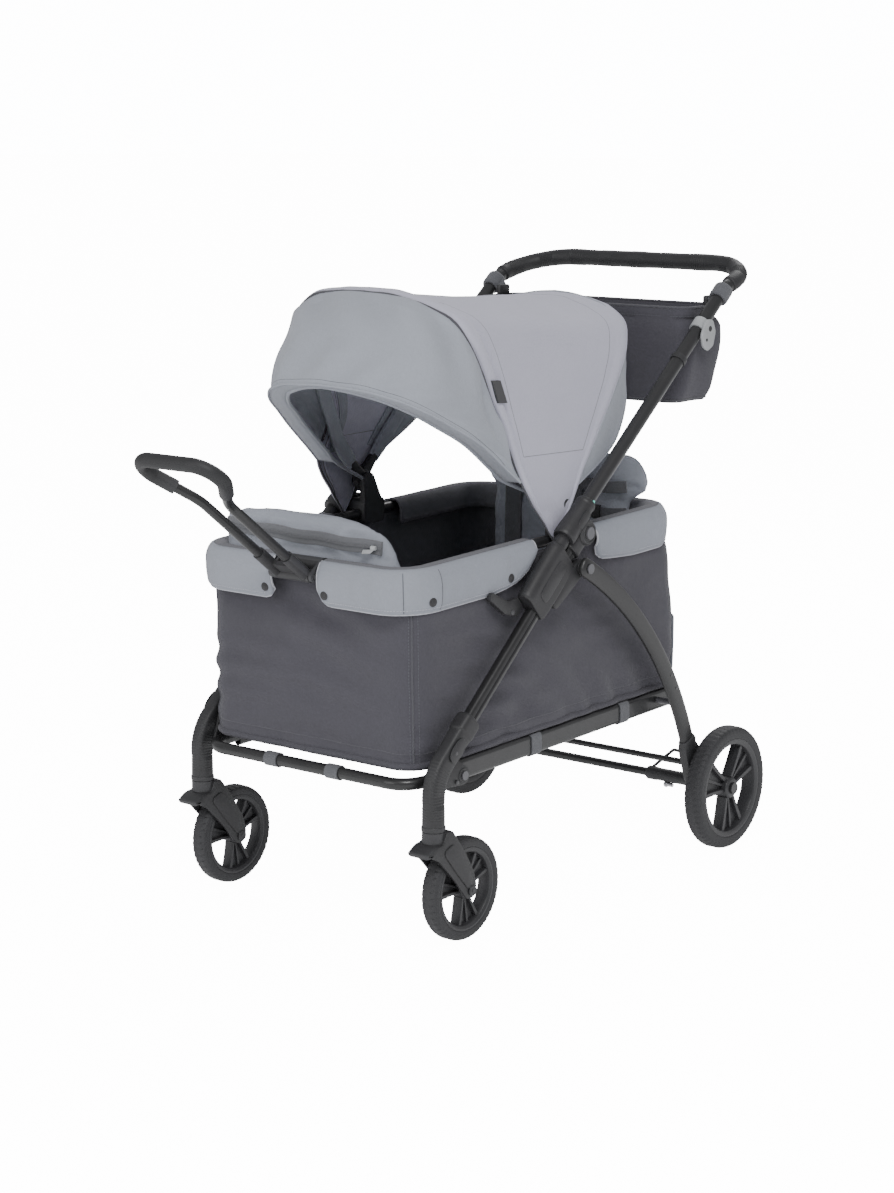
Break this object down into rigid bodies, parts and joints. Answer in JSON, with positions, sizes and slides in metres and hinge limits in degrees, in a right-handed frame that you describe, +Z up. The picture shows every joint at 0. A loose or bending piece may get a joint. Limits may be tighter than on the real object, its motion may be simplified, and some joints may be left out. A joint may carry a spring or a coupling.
{
  "type": "pull wagon",
  "caption": "Folding pull wagon for children: fabric basket on a scissor frame, canopy with visor, front pull handle and rear push handle.",
  "frame": {"origin": "on the floor, below the middle of the bounding box", "axes": "+Z up, -Y towards the pull handle at the front, +Y towards the push handle, +X to the wagon's left"},
  "size_m": [0.674, 1.3404, 1.1114],
  "materials": {
    "frame_black": "satin black powder coat",
    "leg_black": "satin black powder coat",
    "moulded_black": "fine moulded grain",
    "grip_black": "soft ribbed grip",
    "rim_plastic": "moulded wheel plastic",
    "tyre_black": "moulded foam tyre",
    "steel": "zinc plated",
    "basket_fabric": "coated oxford weave",
    "rim_fabric": "light melange weave",
    "canopy_fabric": "melange weave",
    "visor_fabric": "melange weave",
    "lining_fabric": "charcoal lining",
    "webbing": "woven webbing",
    "indicator": "mint",
    "board": "fibreboard",
    "cable": "matt sheath",
    "clip_grey": "moulded grey"
  },
  "bodies": {
    "chassis": {"push_handle_tube": "frame_black", "push_grip": "grip_black", "organiser_bag": "lining_fabric", "organiser_straps": "webbing", "cup_holder_clip": "clip_grey", "upper_sleeve_left": "moulded_black", "upper_sleeve_right": "moulded_black", "lower_tube_left": "frame_black", "lower_tube_right": "frame_black", "leg_casting_left": "moulded_black", "leg_casting_right": "moulded_black", "lock_indicators": "indicator", "pivot_bolts": "steel"},
    "base": {"base_rail_left": "frame_black", "base_rail_right": "frame_black", "base_cross_tubes": "frame_black", "floor_board": "board", "floor_pad": "lining_fabric", "basket_shell": "basket_fabric", "front_seat_back": "rim_fabric", "rear_seat_back": "rim_fabric", "harness_straps": "webbing", "base_straps": "webbing"},
    "top_rail": {"top_rail_front": "frame_black", "top_rail_rear": "frame_black", "rim_cover_left": "rim_fabric", "rim_cover_right": "rim_fabric", "rim_cover_rear": "rim_fabric", "canopy_mounts": "moulded_black", "canopy_rear_bow": "moulded_black", "canopy_rear_flap": "canopy_fabric", "pull_handle_bracket": "moulded_black"},
    "slider": {"joint_housing_left": "moulded_black", "joint_housing_right": "moulded_black", "rail_rest_arms": "moulded_black"},
    "rear_legs": {"rear_leg_left": "leg_black", "rear_leg_right": "leg_black", "rear_leg_pins": "steel", "wheel_brackets": "moulded_black", "rear_axle": "frame_black", "brace_bar": "frame_black", "brake_cable": "cable"},
    "brake": {"brake_pedal": "moulded_black"},
    "pull_handle": {"pull_handle_tube": "frame_black", "pull_grip": "grip_black", "pull_socket": "moulded_black"},
    "canopy_front": {"canopy_front_bow": "moulded_black", "canopy_fabric": "canopy_fabric"},
    "visor": {"visor_wire": "moulded_black", "visor_fabric": "visor_fabric"},
    "caster_left": {"caster_fork_left": "moulded_black"},
    "front_wheel_left": {"front_tyre_left": "tyre_black", "front_rim_left": "rim_plastic"},
    "rear_wheel_left": {"rear_tyre_left": "tyre_black", "rear_rim_left": "rim_plastic"},
    "caster_right": {"caster_fork_right": "moulded_black"},
    "front_wheel_right": {"front_tyre_right": "tyre_black", "front_rim_right": "rim_plastic"},
    "rear_wheel_right": {"rear_tyre_right": "tyre_black", "rear_rim_right": "rim_plastic"}
  },
  "joints": [
    {"name": "fold", "type": "hinge", "parent": "chassis", "child": "base", "pos_m": [0, -0.24, 0.282], "axis": [1, 0, 0], "range_deg": [0, 27], "deforming": ["basket_shell", "front_seat_back", "rear_seat_back", "harness_straps"]},
    {"name": "rail_fold", "type": "hinge", "parent": "chassis", "child": "top_rail", "pos_m": [0, 0.08479, 0.65553], "axis": [1, 0, 0], "range_deg": [0, 27]},
    {"name": "housing_slide", "type": "slide", "parent": "chassis", "child": "slider", "axis": [0, -0.7513, -0.66], "range_m": [0, 0.2334]},
    {"name": "rear_leg_fold", "type": "hinge", "parent": "slider", "child": "rear_legs", "pos_m": [0, 0.06609, 0.5965], "axis": [1, 0, 0], "range_deg": [0, 62.6]},
    {"name": "pull_handle_tilt", "type": "hinge", "parent": "top_rail", "child": "pull_handle", "pos_m": [0, -0.372, 0.616], "axis": [1, 0, 0], "range_deg": [-50, 35]},
    {"name": "canopy_fold", "type": "hinge", "parent": "top_rail", "child": "canopy_front", "pos_m": [0, 0.071, 0.705], "axis": [1, 0, 0], "range_deg": [-65, 0], "deforming": ["canopy_fabric"]},
    {"name": "visor_flip", "type": "hinge", "parent": "canopy_front", "child": "visor", "pos_m": [0, 0.071, 0.705], "axis": [1, 0, 0], "range_deg": [-20, 0], "deforming": ["visor_fabric"]},
    {"name": "caster_swivel_left", "type": "hinge", "parent": "chassis", "child": "caster_left", "pos_m": [0.266, -0.3264, 0.2], "axis": [0, 0, 1], "continuous": true},
    {"name": "front_wheel_spin_left", "type": "hinge", "parent": "caster_left", "child": "front_wheel_left", "pos_m": [0.266, -0.254, 0.0897], "axis": [1, 0, 0], "continuous": true},
    {"name": "rear_wheel_spin_left", "type": "hinge", "parent": "rear_legs", "child": "rear_wheel_left", "pos_m": [0.314, 0.4935, 0.1175], "axis": [1, 0, 0], "continuous": true},
    {"name": "caster_swivel_right", "type": "hinge", "parent": "chassis", "child": "caster_right", "pos_m": [-0.266, -0.3264, 0.2], "axis": [0, 0, 1], "continuous": true},
    {"name": "front_wheel_spin_right", "type": "hinge", "parent": "caster_right", "child": "front_wheel_right", "pos_m": [-0.266, -0.254, 0.0897], "axis": [1, 0, 0], "continuous": true},
    {"name": "rear_wheel_spin_right", "type": "hinge", "parent": "rear_legs", "child": "rear_wheel_right", "pos_m": [-0.314, 0.4935, 0.1175], "axis": [1, 0, 0], "continuous": true},
    {"name": "brake_press", "type": "hinge", "parent": "rear_legs", "child": "brake", "pos_m": [0, 0.4935, 0.1175], "axis": [-1, 0, 0], "range_deg": [0, 20]}
  ],
  "couplings": [
    {"joint": "rail_fold", "follows": "fold", "ratio": 1},
    {"joint": "housing_slide", "follows": "fold", "m_per_rad": 0.4951},
    {"joint": "rear_leg_fold", "follows": "fold", "ratio": 2.3148}
  ]
}
